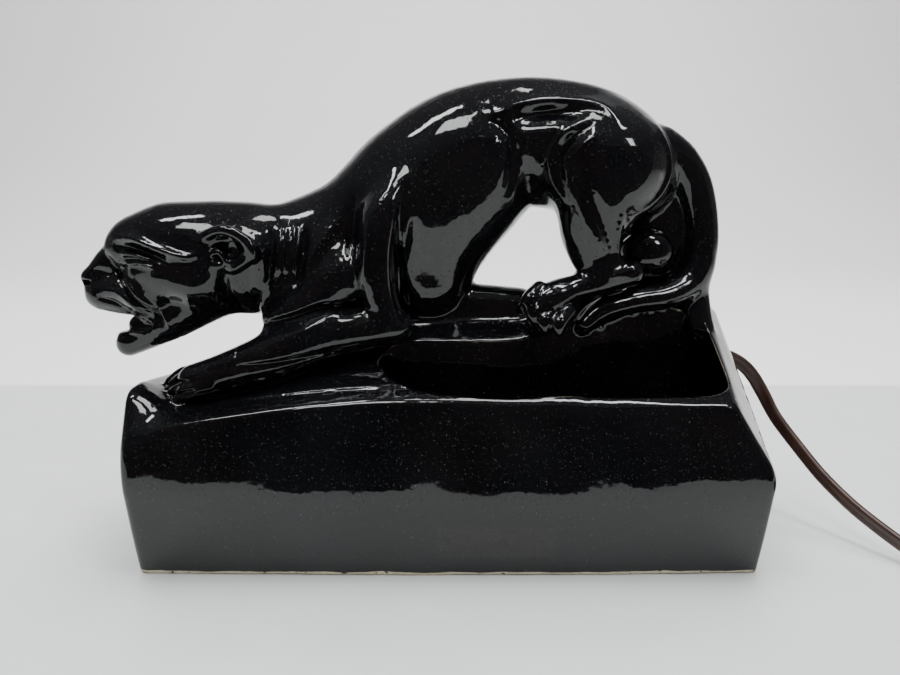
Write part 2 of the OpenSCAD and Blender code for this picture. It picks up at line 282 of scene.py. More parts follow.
MATERIALS = {
    "black_glaze": glaze(),
    "brass": metal("brass", (0.36, 0.24, 0.09), (0.66, 0.48, 0.22), 0.3),
    "bright_brass": metal("bright_brass", (0.55, 0.39, 0.16), (0.80, 0.62, 0.30), 0.2),
    "black_rubber": moulded("black_rubber", (0.012, 0.012, 0.012), (0.028, 0.027, 0.026), 0.7, 1500),
    "brown_plastic": moulded("brown_plastic", (0.035, 0.016, 0.010), (0.060, 0.028, 0.018), 0.32),
    "steel": metal("steel", (0.40, 0.40, 0.41), (0.62, 0.62, 0.63), 0.32),
    "fibre_card": card(),
    "black_phenolic": moulded("black_phenolic", (0.010, 0.008, 0.007), (0.022, 0.017, 0.014), 0.28),
    "cord_brown": moulded("cord_brown", (0.030, 0.014, 0.010), (0.055, 0.026, 0.019), 0.36, 700),
    "bulb_glass": clear_glass(),
    "solder": metal("solder", (0.35, 0.35, 0.35), (0.6, 0.6, 0.6), 0.45),
    "tungsten": metal("tungsten", (0.12, 0.12, 0.13), (0.25, 0.25, 0.27), 0.45),
}


def place_piece(name, mesh, slot, body):
    """The mesh, in metres, as a smooth piece with its slot's material, riding on a body."""
    mesh.polygons.foreach_set("use_smooth", [True] * len(mesh.polygons))
    mesh.materials.append(MATERIALS[slot])
    piece = bpy.data.objects.new(name, mesh)
    bpy.context.scene.collection.objects.link(piece)
    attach(piece, body)
    return piece


def dress_cad_nodes():
    for part in frame["record"]["subparts"]:
        node = frame["nodes"][part["node"]]
        node.data.materials.clear()
        node.data.materials.append(MATERIALS[part["material_slot"]])


dress_cad_nodes()


# ---------------------------------------------------------------- cord

CORD_WIDTH = 5.2
CORD_THICK = 2.7
COIL = (213, -50)
COIL_OUTER, COIL_INNER = 36.4, 21.0
LOW_LAYER, HIGH_LAYER = 2.8, 8.15

LEAD_ROUTE = [
    (110.5, 21, 62), (116.5, 21, 61.8), (122.2, 21, 59.9), (127.2, 21, 56.6), (131.2, 20.7, 52),
    (134.8, 19.4, 45.8), (138.8, 15.6, 37.6), (144.5, 7.4, 28.8), (150, -2, 20.8), (156, -12, 14.3),
    (161, -20, 10.3), (166, -28, 7), (170.5, -35, 4.6), (174.2, -42, 3.2), (176.5, -50, 2.8),
]
TAIL_ROUTE = [
    (246.5, -50, 8.2), (246.5, -40, 7.4), (245, -30, 5), (242, -20, 4.2), (239, -11, 5.6), (238, -2, 7),
]


def smooth_route(points, steps):
    """The points joined by a smooth curve, with steps to each span."""
    p = np.array(points, float)
    t = np.arange(steps)[:, None] / steps
    out = []
    for i in range(len(p) - 1):
        a, b, c, d = p[max(i - 1, 0)], p[i], p[i + 1], p[min(i + 2, len(p) - 1)]
        out.append(0.5 * (2 * b + (c - a) * t + (2 * a - 5 * b + 4 * c - d) * t**2
                          + (3 * b - a - 3 * c + d) * t**3))
    return np.vstack([*out, p[-1:]])


TURN_POINTS = 48
LOW_TURNS, HIGH_TURNS = 5.0, 4.5


def coil_route():
    """Turns inwards on the table, then outwards on top of them."""
    low, high = LOW_TURNS, HIGH_TURNS
    route = []
    for i in range(int((low + high) * TURN_POINTS) + 1):
        turn = i / TURN_POINTS
        if turn < low:
            radius = COIL_OUTER + (COIL_INNER - COIL_OUTER) * turn / low
        else:
            radius = COIL_INNER + (TAIL_ROUTE[0][0] - COIL[0] - COIL_INNER) * (turn - low) / high
        climb = min(max((turn - low + 0.5) / 0.7, 0), 1)
        height = LOW_LAYER + (HIGH_LAYER - LOW_LAYER) * climb * climb * (3 - 2 * climb)
        angle = math.pi + 2 * math.pi * turn
        route.append((COIL[0] + radius * math.cos(angle), COIL[1] + radius * math.sin(angle), height))
    return np.array(route)


def flat_section():
    """Outline of the flat cord: two round conductors side by side with a groove between them."""
    lobe = CORD_THICK / 2
    offset = CORD_WIDTH / 2 - lobe
    outline = []
    for side in (1, -1):
        for angle in np.radians(np.linspace(-117, 117, 10)):
            outline.append((side * (offset + lobe * math.cos(angle)), side * lobe * math.sin(angle)))
    return np.array(outline)


def make_cord():
    route = np.vstack([smooth_route(LEAD_ROUTE, 4)[:-1], coil_route(), smooth_route(TAIL_ROUTE, 4)[1:]])
    ahead = np.gradient(route, axis=0)
    ahead /= np.linalg.norm(ahead, axis=1)[:, None]
    wide = np.array([0, 0, 1.0]) - ahead[:, 2:3] * ahead
    wide /= np.linalg.norm(wide, axis=1)[:, None]
    thick = np.cross(ahead, wide)
    section = flat_section()
    points = (route[:, None] + section[None, :, :1] * wide[:, None] + section[None, :, 1:] * thick[:, None])
    rings, sides = len(route), len(section)
    faces = [tuple(range(sides))[::-1], tuple((rings - 1) * sides + k for k in range(sides))]
    for i in range(rings - 1):
        for k in range(sides):
            j = (k + 1) % sides
            faces.append((i * sides + k, i * sides + j, (i + 1) * sides + j, (i + 1) * sides + k))
    mesh = bpy.data.meshes.new("flat_cord")
    mesh.from_pydata((points.reshape(-1, 3) * MM).tolist(), [], faces)
    mesh.update()
    cord = place_piece("flat_cord", mesh, "cord_brown", "lamp")
    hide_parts("cord_lead", "cord_coil", "cord_tail")


make_cord()


# ---------------------------------------------------------------- distance field of the ceramic

VOXEL = 0.5
FLAT_MERGE = 0.03        # how readily flat parts of the surface get larger faces
BLOCK = 16.0            # side of the blocks that the field is worked out in
FIELD_LOW = np.array([-124.0, -48.0, -6.0])
FIELD_HIGH = np.array([124.0, 48.0, 170.0])
REACH = 4.0             # how far from a shape's surface it still has to be worked out


def smin(a, b, k):
    h = np.maximum(k - np.abs(a - b), 0) / k
    return np.minimum(a, b) - h * h * k / 4


def smax(a, b, k):
    return -smin(-a, -b, k)


class Op:
    """One step of the sculpt: how(field, x, y, z) gives the new field inside the box low to high."""

    def __init__(self, how, low, high):
        self.how = how
        self.low = np.array(low, float)
        self.high = np.array(high, float)


def spline(points, steps=5):
    p = np.array(points, float)
    if len(p) == 2:
        return p
    return smooth_route(p, steps)


def segment_distance(a, b, x, y, z, flat):
    """Signed distance to a tapered capsule from a to b, each (x, y, z, radius), narrowed in y by flat."""
    d = b[:3] - a[:3]
    sy = 1 / flat
    dx, dy, dz = d[0], d[1] * sy, d[2]
    px, py, pz = x - a[0], (y - a[1]) * sy, z - a[2]
    t = np.clip((px * dx + py * dy + pz * dz) / (dx * dx + dy * dy + dz * dz + 1e-9), 0, 1)
    gap = np.sqrt((px - t * dx) ** 2 + (py - t * dy) ** 2 + (pz - t * dz) ** 2)
    return (gap - (a[3] + (b[3] - a[3]) * t)) * min(1, 0.5 + flat / 2)


def limb(points, k=4.0, flat=1.0, cut=False):
    """A smooth tapered limb through the points, each (x, y, z, radius)."""
    line = spline(points)
    radius = line[:, 3].max()
    room = radius * max(flat, 1) + k + REACH
    low, high = line[:, :3].min(0) - room, line[:, :3].max(0) + room

    def how(field, x, y, z):
        box_low = np.array([x.min(), y.min(), z.min()])
        box_high = np.array([x.max(), y.max(), z.max()])
        shape = None
        for a, b in zip(line[:-1], line[1:]):
            past = np.minimum(a, b)[:3] - room > box_high
            short = np.maximum(a, b)[:3] + room < box_low
            if past.any() or short.any():
                continue
            one = segment_distance(a, b, x, y, z, flat)
            shape = one if shape is None else np.minimum(shape, one)
        if shape is None:
            return field
        return smax(field, -shape, k) if cut else smin(field, shape, k)

    return Op(how, low, high)


def blob(centre, radii, k=4.0):
    """An ellipsoid, blended in over k."""
    room = max(radii) + k + REACH

    def how(field, x, y, z):
        px, py, pz = x - centre[0], y - centre[1], z - centre[2]
        near = np.sqrt((px / radii[0]) ** 2 + (py / radii[1]) ** 2 + (pz / radii[2]) ** 2)
        slope = np.sqrt((px / radii[0] ** 2) ** 2 + (py / radii[1] ** 2) ** 2 + (pz / radii[2] ** 2) ** 2)
        return smin(field, near * (near - 1) / (slope + 1e-6), k)

    return Op(how, np.array(centre) - room, np.array(centre) + room)


def side_of(y, middle):
    """1 on the near side of the plane y = middle and 0 on the far side."""
    return 1 / (1 + np.exp(np.clip((y - middle) / 1.2, -30, 30)))


def crease(points, width, height, middle):
    """A ridge (height > 0) or groove (height < 0) drawn through (x, z) points, nearer than middle."""
    line = spline(points)
    room = width * 2.6
    low = np.array([line[:, 0].min() - room, FIELD_LOW[1], line[:, 1].min() - room])
    high = np.array([line[:, 0].max() + room, middle + 6, line[:, 1].max() + room])
    along = np.linspace(0, 1, len(line))
    fade = np.sin(np.pi * (0.03 + 0.94 * along)) ** 0.7

    def how(field, x, y, z):
        best = None
        for i in range(len(line) - 1):
            a, b = line[i], line[i + 1]
            dx, dz = b - a
            t = np.clip(((x - a[0]) * dx + (z - a[1]) * dz) / (dx * dx + dz * dz + 1e-9), 0, 1)
            gap = (x - a[0] - t * dx) ** 2 + (z - a[1] - t * dz) ** 2
            rise = np.exp(-gap / width**2) * (fade[i] + (fade[i + 1] - fade[i]) * t)
            best = rise if best is None else np.maximum(best, rise)
        return field - height * best * side_of(y, middle)

    return Op(how, low, high)


def along(xs, values):
    """A smooth function of x through the given values."""
    xs, values = np.array(xs, float), np.array(values, float)
    slope = np.gradient(values, xs)

    def at(x):
        i = np.clip(np.searchsorted(xs, x) - 1, 0, len(xs) - 2)
        span = xs[i + 1] - xs[i]
        t = np.clip((x - xs[i]) / span, 0, 1)
        return ((1 + 2 * t) * (1 - t) ** 2 * values[i] + t * (1 - t) ** 2 * span * slope[i]
                + t * t * (3 - 2 * t) * values[i + 1] + t * t * (t - 1) * span * slope[i + 1])

    return at


# ---- rock

FRONT_EDGE = along([-93, -80, -64, -28, -7, 30, 62, 101, 117],
                   [49, 52.6, 55.3, 59.3, 60.3, 59.6, 59, 59.6, 60])
SLOPE = along([-93, -87, -80, -74, -62, -50, -36, -21, -5, 12, 36, 48, 57, 80, 103, 117],
              [1.8, 1.2, 0.4, 0.18, 0.17, 0.22, 0.33, 0.47, 0.56, 0.61, 0.68, 0.76, 0.8, 0.72, 0.5, 0.45])
PLATEAU = along([-93, -87, -80, -72, -60, -45, -12, 8, 30, 60, 98, 117],
                [62.5, 60, 56.5, 56.5, 59.5, 64.5, 77, 84.5, 88, 89.5, 86.5, 80])
WELL_FLOOR = 8.0
NICHE = {"x": (-8, 98), "y": 6, "z": (34, 76)}
LAMP_AXIS = (21, 62)


def rock_solid(x, y, z):
    """The rock's facets, softened as a slip casting's are."""
    top = (z - FRONT_EDGE(x) - SLOPE(x) * (y + 38)) / np.sqrt(1 + SLOPE(x) ** 2)
    left = np.clip((-40 - x) / 30, 0, 1)
    fall = (0.06 + 0.1 * left) * np.maximum(y - 4 + 24 * left, 0)
    top = smax(top, z - PLATEAU(x) + fall, 3.5)
    crest = 25 + 0.0008 * (x - 10) ** 2
    lower = (-(y + 42) + (crest - z) * 0.17) * 0.99
    upper = (-(y + 42) + (z - crest) * 0.105) * 0.99
    front = smax(lower, upper, 1.0)
    point, normal = END_FACET
    facet = sum((v - p) * n for v, p, n in zip((x, y, z), point, normal))
    right = smax(x - 117 + 0.06 * np.maximum(34 - z, 0), facet, 2.5)
    back = smax(y - 42, 0.35 * (y - 42) + (z - 80) * 0.94, 4)
    body = smax(front, top, 1.8)
    body = smax(body, back, 5)
    body = smax(body, right, 2.5)
    body = smax(body, -(x + 94) + 0.05 * np.maximum(30 - z, 0), 4)
    return smax(body, -z, 1.2)


def well_shape(x, y, z):
    """Teardrop planter: narrow at the left, wide at the right, with slightly sloping walls."""
    middle = along([-12, 12, 46, 60, 80, 98], [-21, -24.4, -24.2, -21.6, -17.8, -15.6])(x)
    half = along([-12, -2, 12, 46, 60, 80, 98], [5.5, 9, 10.4, 10.9, 13.4, 17.2, 18])(x)
    half = half - 0.03 * np.maximum(60 - z, 0)
    sides = (np.abs(y - middle) - half) * 0.97
    ends = np.maximum(-12.5 - x + 0.08 * np.maximum(60 - z, 0), x - 103.5 + 0.05 * np.maximum(62 - z, 0))
    plan = smax(sides, ends, 9)
    return smax(plan, WELL_FLOOR - z, 8)


def niche_shape(x, y, z):
    roof = along([-8, 16, 98], [69, 76, 76])(x)
    box = smax(smax(NICHE["x"][0] - x, x - NICHE["x"][1], 2), smax(NICHE["z"][0] - z, z - roof, 3), 4)
    return smax(box, NICHE["y"] - y, 4)


ROCK_HUMP = [(-10, 4, 74, 8), (4, 3, 83, 8.5), (20, 3, 84.5, 7.5), (36, 2, 83.8, 7)]
END_FACET = ((117, -41, 36), (0.787, -0.319, 0.528))


def hollows(rock, x, y, z):
    """The rock with its planter, lamp niche, under-hollows and socket hole taken out."""
    rock = smax(rock, -well_shape(x, y, z), 1.0)
    rock = smax(rock, -niche_shape(x, y, z), 2.5)
    left = np.maximum(np.abs(x + 54) - 31, np.maximum(np.abs(y) - 33, z - 40))
    right = np.maximum(np.abs(x - 43) - 51, np.maximum(np.abs(y - 21.5) - 15.5, z - 29))
    rock = smax(rock, -smin(left, right, 0.1), 2)
    around = np.sqrt((y - LAMP_AXIS[0]) ** 2 + (z - LAMP_AXIS[1]) ** 2)
    hole = np.maximum(around - 5.2, 90 - x)
    seat = np.maximum(around - 10, 103.5 - x)
    return smax(smax(rock, -hole, 0.4), -seat, 0.4)


def streaks(x, y, z):
    """Shallow parallel runs on the slope in front of the foreleg."""
    across = (z - FRONT_EDGE(x) - 0.5 * SLOPE(x) * (y + 38)) + 0.35 * (y + 38)
    window = np.exp(-((x + 34) / 34) ** 4) * np.exp(-((y + 28) / 7.2) ** 4)
    wave = np.sin(across * 1.9 + 0.02 * x) + 0.6 * np.sin(across * 3.3 + 1 + 0.035 * x)
    return 0.2 * window * wave


def join_rock(field, x, y, z):
    rock = rock_solid(x, y, z)
    rock = limb(ROCK_HUMP, 4).how(rock, x, y, z)
    rock = hollows(rock - streaks(x, y, z), x, y, z)
    return smin(field, rock, 2.2)


# ---- panther

HEAD_MIDDLE = -5.0


def both_sides(points):
    """The points, and the points mirrored in the head's middle plane."""
    mirrored = [(p[0], 2 * HEAD_MIDDLE - p[1], *p[2:]) for p in points]
    return points, mirrored


def torso_ops():
    return [
        limb([(-34, 4, 103, 20), (-16, 4, 110, 23), (2, 4, 122, 27), (18, 4, 134, 25.5), (34, 4, 140.5, 22),
              (50, 4, 140, 22), (64, 4, 136, 21.5), (74, 4, 131, 17)], 6, 0.82),
        limb([(4, 3, 95, 16), (9, 3, 107, 16), (20, 3, 120, 14)], 7, 0.9),
        blob((-30, 0, 96), (20, 17, 17), 6),
        limb([(-34, 2, 102, 19.5), (-46, 0, 101.4, 18.5), (-58, -2, 101.6, 19.4),
              (-66, -3, 102.6, 19)], 5, 0.78),
    ]


def foreleg_ops():
    ops = [
        limb([(-4, -12, 124, 8), (-9, -15, 116, 9), (-11.5, -16.5, 104, 8), (-11, -17, 92, 7),
              (-7.5, -17, 82, 6.3)], 4),
        limb([(-7, -17, 80, 6), (-20, -17.5, 79.4, 7.8), (-34, -18, 76.6, 8.6), (-48, -19, 70.4, 8.2),
              (-58, -19.5, 66.8, 7.4), (-67, -19.5, 63.8, 6.6), (-74, -19.5, 62, 6)], 2.5),
        limb([(-22, -13, 98, 8), (-36, -14, 88, 7), (-47, -13, 82, 5)], 6),
        limb([(-18, 12, 106, 12), (-24, 14, 90, 9), (-36, 12, 78, 8), (-50, 11, 68, 7),
              (-62, 11, 61, 6.5)], 5),
    ]
    for i, (y, z) in enumerate([(-13.6, 61.4), (-17.2, 61), (-20.8, 60.2), (-24, 58.8)]):
        back = 1.8 * i
        ops.append(limb([(-73 + back, y, z + 2.6, 2.4), (-79.6 + back, y, z + 1.4, 2.9),
                         (-84.4 + back, y, z - 1.4, 2.3)], 0.9))
        ops.append(limb([(-85 + back, y, z - 2.2, 1.2), (-86.4 + back, y, z - 4.6, 0.5)], 0.6))
    return ops


def hind_ops():
    ops = [
        limb([(88, 8, 124, 10), (87, 8, 110, 12), (85, 8, 98, 11)], 5, 0.45),
        limb([(56, 14, 130, 13), (62, 16, 113, 6.5), (68, 15, 102, 5.5), (72, 14, 96, 5.5)], 5),
        limb([(72, 14, 95, 5), (62, 13, 92, 4.6)], 4),
        blob((64, -5, 133), (21, 17, 20), 5),
        limb([(63, -8, 126, 15.5), (60.5, -9, 114, 11.6), (61, -9, 105.5, 8.8),
              (64, -9.5, 98.6, 7.4)], 4, 0.85),
        limb([(73, -11, 97.5, 4.6), (64, -11.5, 94.8, 4.2), (54, -13, 92.6, 4.6), (47, -15, 89.8, 5.8),
              (43.4, -16, 87.6, 5.2)], 3),
        limb([(84, 3, 138, 9), (91, 4, 134.5, 7.6), (97.5, 5, 126, 6.6), (101, 5, 114, 6),
              (101.3, 4, 102, 5.6),
              (97.5, 2, 93.2, 5.2), (88, -2, 88.6, 4.8), (76, -5, 87, 4.5), (65, -8, 84.4, 4.2),
              (58.5, -11, 80, 3)], 2.2),
        blob((81.5, 0.5, 103.8), (9.6, 6, 7.6), 1.6),
        limb([(100.3, 5, 97, 5), (100.8, 5, 88, 5), (102, 2, 77, 5)], 4),
    ]
    for i, (x, z) in enumerate([(38, 89), (39.4, 85.4), (43, 82.4), (47.6, 81.6)]):
        ops.append(limb([(x + 4, -15 - i * 0.8, z + 4, 2.6), (x + 0.6, -18.4 - i * 0.9, z + 0.8, 2.9),
                         (x + 0.4, -19 - i * 0.9, z - 1.8, 2.1)], 0.8))
    return ops


def head_ops():
    ops = [
        blob((-78, HEAD_MIDDLE, 104.5), (21, 15, 17), 4),
        limb([(-86, HEAD_MIDDLE, 107.6, 12.6), (-95.4, HEAD_MIDDLE, 106.6, 10),
              (-101.6, HEAD_MIDDLE, 103.4, 6.2), (-106, HEAD_MIDDLE, 99.8, 5.5),
              (-109.6, HEAD_MIDDLE, 96.6, 4.8)], 3),
        limb([(-112, HEAD_MIDDLE, 94.6, 3.2), (-110.6, HEAD_MIDDLE, 89.6, 4)], 2),
        limb([(-107.6, HEAD_MIDDLE, 90.4, 6.6), (-100, HEAD_MIDDLE, 90.6, 8.2),
              (-90, HEAD_MIDDLE, 92, 10.5)], 2.5, 1.1),
        limb([(-70, HEAD_MIDDLE, 91, 10), (-84, HEAD_MIDDLE, 81.5, 7.4), (-95, HEAD_MIDDLE, 75.2, 5.4),
              (-101.3, HEAD_MIDDLE, 72, 4.4)], 2.5, 1.1),
        limb([(-101.6, HEAD_MIDDLE, 74, 3.2), (-102.2, HEAD_MIDDLE, 76, 2.4)], 1.5, 1.6),
        blob((-112.9, HEAD_MIDDLE, 95.8), (3, 4.2, 2.8), 1.4),
    ]
    for cheek in both_sides([(-84, -13, 97, 5.5), (-74, -14, 95, 6)]):
        ops.append(limb(cheek, 5))
    for bone in both_sides([(-93, -12.2, 98.4, 3.2), (-86, -13.6, 97.6, 3.4)]):
        ops.append(limb(bone, 2.5))
    ops.append(mouth())
    ops.append(limb([(-88, HEAD_MIDDLE, 79.6, 4.6), (-97.4, HEAD_MIDDLE, 78.8, 3.5)], 1.0, 1.2))
    for nostril in both_sides([(-113.4, -7.6, 94.4, 1.1), (-111.4, -8.8, 94, 0.9)]):
        ops.append(limb(nostril, 0.8, cut=True))
    for base in both_sides([(-64, -14, 105, 6), (-59, -15.5, 106, 6)]):
        ops.append(limb(base, 3.5))
    for cup in both_sides([(-63.5, -21.6, 105.6, 4.6), (-60, -22.2, 106.4, 4.2)]):
        ops.append(limb(cup, 1.4, cut=True))
    rim = [(-70, -17.5, 107.5, 1.4), (-67.5, -18.8, 111, 1.7), (-61.5, -20.3, 112.9, 1.8),
           (-55.6, -20.6, 110.4, 1.8),
           (-53.6, -20, 105.6, 1.7), (-56.4, -19, 101.4, 1.6), (-61.4, -17.6, 99.4, 1.3)]
    for edge in both_sides(rim):
        ops.append(limb(edge, 1.4))
    for fold in both_sides([(-67, -18.2, 104.6, 1.0), (-63.6, -18.9, 105.6, 1.1), (-61.6, -18.8, 102.4, 0.9)]):
        ops.append(limb(fold, 1.2))
    return ops


MOUTH_CORNER = (-91.5, 79.6)
MOUTH_LENGTH = 18


def mouth():
    """A wedge that opens from the corner of the mouth to the lips."""
    corner, height = MOUTH_CORNER

    def how(field, x, y, z):
        t = np.clip((corner - x) / MOUTH_LENGTH, 0, 1)
        gap = np.sqrt(np.maximum(x - corner, 0) ** 2 + np.maximum(corner - MOUTH_LENGTH - x, 0) ** 2
                      + (z - height + 0.2 * t) ** 2)
        return smax(field, -(gap - (0.8 + 3.1 * t ** 0.7)), 1.2)

    return Op(how, (-118, -30, 68), (-84, 20, 92))


def drawn_lines():
    """Folds and muscle edges, drawn on the flank in the plane of x and z."""
    head = HEAD_MIDDLE - 3
    return [
        # brow, eye and lids
        crease([(-100, 109.6), (-93, 110), (-84, 107), (-75, 104.2), (-70.4, 105)], 1.4, 1.6, head),
        crease([(-99, 107.2), (-93, 106.4), (-86, 104.4), (-80, 101.4)], 1.3, -1.7, head),
        crease([(-97.4, 104.6), (-92.4, 104.6), (-87.6, 103)], 0.9, 1.0, head),
        crease([(-97, 102.8), (-91, 103), (-85.6, 101.7)], 0.6, -0.9, head),
        crease([(-96.4, 100.9), (-90.3, 101.8), (-85.4, 100.3)], 0.7, 0.9, head),
        # muzzle and lips
        crease([(-103.4, 103), (-101, 98.6), (-98.2, 95), (-94.6, 89.8), (-88, 84.4), (-86, 79.8)],
               1.0, -1.5, head),
        crease([(-100.4, 99.4), (-97, 95.4), (-92.6, 89.8), (-86.6, 84.6), (-84.4, 80)], 1.1, 1.0, head),
        crease([(-106, 92.6), (-99.6, 91), (-94.6, 85.6), (-91.6, 81)], 1.0, 0.8, head),
        crease([(-108, 89.6), (-102, 88), (-97.4, 84.4)], 1.1, -1.1, head),
        crease([(-110.6, 85), (-104, 83.8), (-97.4, 83), (-92.6, 80.2)], 0.8, 0.7, head),
        crease([(-102.6, 76.4), (-98, 77), (-94, 76.8)], 0.7, 0.8, head),
        crease([(-103, 96.8), (-107.6, 98.4), (-111, 97.4)], 1.0, -0.8, head),
        crease([(-62, 99.5), (-63.5, 94), (-62, 88), (-58, 83)], 1.8, -2.0, head),
        # neck
        crease([(-52.4, 111), (-51, 105), (-51.8, 96)], 2.0, 1.7, -6),
        crease([(-55.4, 100), (-55.6, 93), (-54, 86)], 2.0, -1.2, -6),
        crease([(-48, 112), (-47.6, 104), (-48.6, 94)], 1.1, -1.5, -6),
        *[crease([(x + 0.8, 113), (x, 106), (x - 0.8, 98)], 0.95, 1.2, -6) for x in (-44.9, -41.9, -39)],
        crease([(-36.2, 112), (-36.8, 103), (-39.4, 93)], 1.3, -1.8, -6),
        crease([(-26.4, 115), (-31.6, 107.6), (-37, 99)], 2.5, 1.8, -6),
        # shoulder and foreleg
        crease([(-2, 128), (-4, 118), (-5.4, 103), (-4.6, 90), (-3, 82)], 1.7, -2.4, -6),
        crease([(-8, 125), (-13.5, 117), (-15, 106), (-15.6, 94)], 2.0, 1.3, -6),
        crease([(-20, 122), (-20.4, 108), (-20, 94)], 2.4, -1.6, -6),
        crease([(-52, 80.6), (-40, 84), (-30, 87.4), (-20, 87)], 1.4, -1.8, -8),
        crease([(-46, 76.6), (-34, 81.4), (-26, 86)], 1.7, 1.0, -8),
        crease([(-85, 59.6), (-80, 62), (-74, 63.4)], 0.7, -1.0, -10),
        crease([(-83.4, 57), (-78, 59.2), (-72, 60.8)], 0.7, -1.0, -10),
        crease([(-70, 66.6), (-58, 68.6), (-44, 70.4), (-26, 73.6), (-10, 76)], 1.0, -0.8, -10),
        # flank and pelvis
        crease([(23, 149), (31, 143), (32.6, 134), (30.4, 124)], 2.2, -2.3, -6),
        crease([(23.4, 147.5), (33.4, 152.6), (47, 154.4), (60, 153), (65, 148.6)], 2.0, 1.9, -4),
        crease([(33, 147.6), (42, 149.6), (53, 149.6)], 2.0, -2.0, -6),
        crease([(34, 141), (44, 144.4), (52, 146)], 3.0, 1.6, -6),
        crease([(37, 134), (38, 126), (42, 120)], 3.2, -2.4, -6),
        # haunch
        crease([(57, 148.4), (49, 144), (44.6, 137.4), (45, 129), (50, 120)], 1.3, 1.2, -6),
        crease([(58, 146), (51, 141.6), (47.6, 135.6), (48.4, 128)], 1.0, -0.9, -6),
        crease([(59, 143.4), (54, 139.6), (51.6, 135)], 0.9, 0.6, -6),
        crease([(52, 124), (57, 115), (62, 106)], 2.0, 1.0, -8),
        crease([(57, 126), (61, 116), (65, 107)], 1.8, -1.4, -8),
        crease([(80, 147), (84.4, 138), (84.6, 129), (80, 121.4), (73, 117.6)], 1.5, 1.6, -6),
        crease([(68, 118), (67.6, 110), (69, 101)], 1.0, 0.9, -8),
        # hind foot
        crease([(60, 98.4), (68, 97.6), (74, 100)], 1.2, 0.6, -8),
    ]


def undulation(field, x, y, z):
    """The faint unevenness of a hand-finished casting."""
    wave = np.sin(0.21 * x + 0.9) * np.sin(0.17 * z + 0.4 * np.sin(0.1 * y)) + 0.6 * np.sin(0.09 * x + 0.13 * z + 2)
    return field - 0.12 * wave


WHOLE = (FIELD_LOW - 1, FIELD_HIGH + 1)
OPS = [
    *torso_ops(), *hind_ops(), *foreleg_ops(), *head_ops(), *drawn_lines(),
    Op(join_rock, *WHOLE),
    Op(undulation, *WHOLE),
]


def field_at(x, y, z, ops):
    field = np.full(np.broadcast(x, y, z).shape, 60.0)
    for op in ops:
        field = op.how(field, x, y, z)
    return field


def ops_near(low, high):
    return [op for op in OPS if (op.low <= high).all() and (op.high >= low).all()]


def fill_block(args):
    grid, axes, start, size = args
    part = [axis[s:s + size] for axis, s in zip(axes, start)]
    low = np.array([p[0] for p in part])
    high = np.array([p[-1] for p in part])
    coarse = [np.linspace(a, b, 5) for a, b in zip(low, high)]
    ops = ops_near(low, high)
    probe = field_at(coarse[0][:, None, None], coarse[1][None, :, None], coarse[2][None, None, :], ops)
    where = tuple(slice(s, s + len(p)) for s, p in zip(start, part))
    if np.abs(probe).min() > 0.62 * BLOCK:
        grid[where] = np.sign(probe.flat[0]) * 3
        return
    grid[where] = field_at(part[0][:, None, None], part[1][None, :, None], part[2][None, None, :], ops)


def solve_field():
    axes = [np.arange(a, b + VOXEL, VOXEL) for a, b in zip(FIELD_LOW, FIELD_HIGH)]
    grid = np.full([len(a) for a in axes], 3.0, np.float32)
    size = int(BLOCK / VOXEL)
    jobs = [
        (grid, axes, (i, j, k), size)
        for i in range(0, len(axes[0]), size)
        for j in range(0, len(axes[1]), size)
        for k in range(0, len(axes[2]), size)
    ]
    with ThreadPoolExecutor(4) as pool:
        list(pool.map(fill_block, jobs))
    return np.clip(grid, -3, 3)


def settle(points):
    """Moves the mesh's points exactly onto the surface of the field, block by block."""
    keys = np.floor((points - FIELD_LOW) / BLOCK).astype(int)
    code = keys[:, 0] * 10000 + keys[:, 1] * 100 + keys[:, 2]
    order = np.argsort(code, kind="stable")
    starts = np.flatnonzero(np.r_[True, np.diff(code[order]) != 0])
    groups = np.split(order, starts[1:])
    step = 0.05
    corners = np.array([(1, 1, 1), (1, -1, -1), (-1, 1, -1), (-1, -1, 1)], float)
    out = points.copy()

    def work(group):
        p = out[group]
        probes = (p[None] + step * corners[:, None]).reshape(-1, 3)
        values = field_at(*probes.T, ops_near(p.min(0) - 1, p.max(0) + 1)).reshape(4, -1)
        slope = (values.T @ corners) / (4 * step)
        move = -(values.mean(0) / np.maximum((slope**2).sum(1), 0.2))[:, None] * slope
        reach = np.linalg.norm(move, axis=1)[:, None]
        out[group] = p + move * np.minimum(1, 0.4 * VOXEL / np.maximum(reach, 1e-9))

    with ThreadPoolExecutor(4) as pool:
        list(pool.map(work, groups))
    return out


def rim_mask(p):
    """How much the glaze thins over the planter's rim; the same mask also paints the rim's highlight in cream."""
    x, y, z = p.T
    outer = limb(ROCK_HUMP, 4).how(rock_solid(x, y, z), x, y, z)
    return np.exp(-(outer / 0.4) ** 2 - (well_shape(x, y, z) / 0.45) ** 2)


def ceramic_mesh():
    """The field's surface as a mesh of triangles and quads, coarser where it is flat."""
    grid = openvdb.FloatGrid(3.0)
    grid.copyFromArray(solve_field())
    points, triangles, quads = grid.convertToPolygons(isovalue=0.0, adaptivity=FLAT_MERGE)
    points = settle(np.asarray(points, float) * VOXEL + FIELD_LOW)
    corners = np.concatenate([np.asarray(quads)[:, ::-1].ravel(), np.asarray(triangles)[:, ::-1].ravel()])
    sizes = np.repeat([4, 3], [len(quads), len(triangles)])
    mesh = bpy.data.meshes.new("ceramic_casting")
    mesh.vertices.add(len(points))
    mesh.vertices.foreach_set("co", (points * MM).ravel())
    mesh.loops.add(len(corners))
    mesh.loops.foreach_set("vertex_index", corners.astype(np.int32))
    mesh.polygons.add(len(sizes))
    mesh.polygons.foreach_set("loop_start", np.r_[0, np.cumsum(sizes)[:-1]].astype(np.int32))
    mesh.update(calc_edges=True)
    mesh.validate()
    return mesh, points


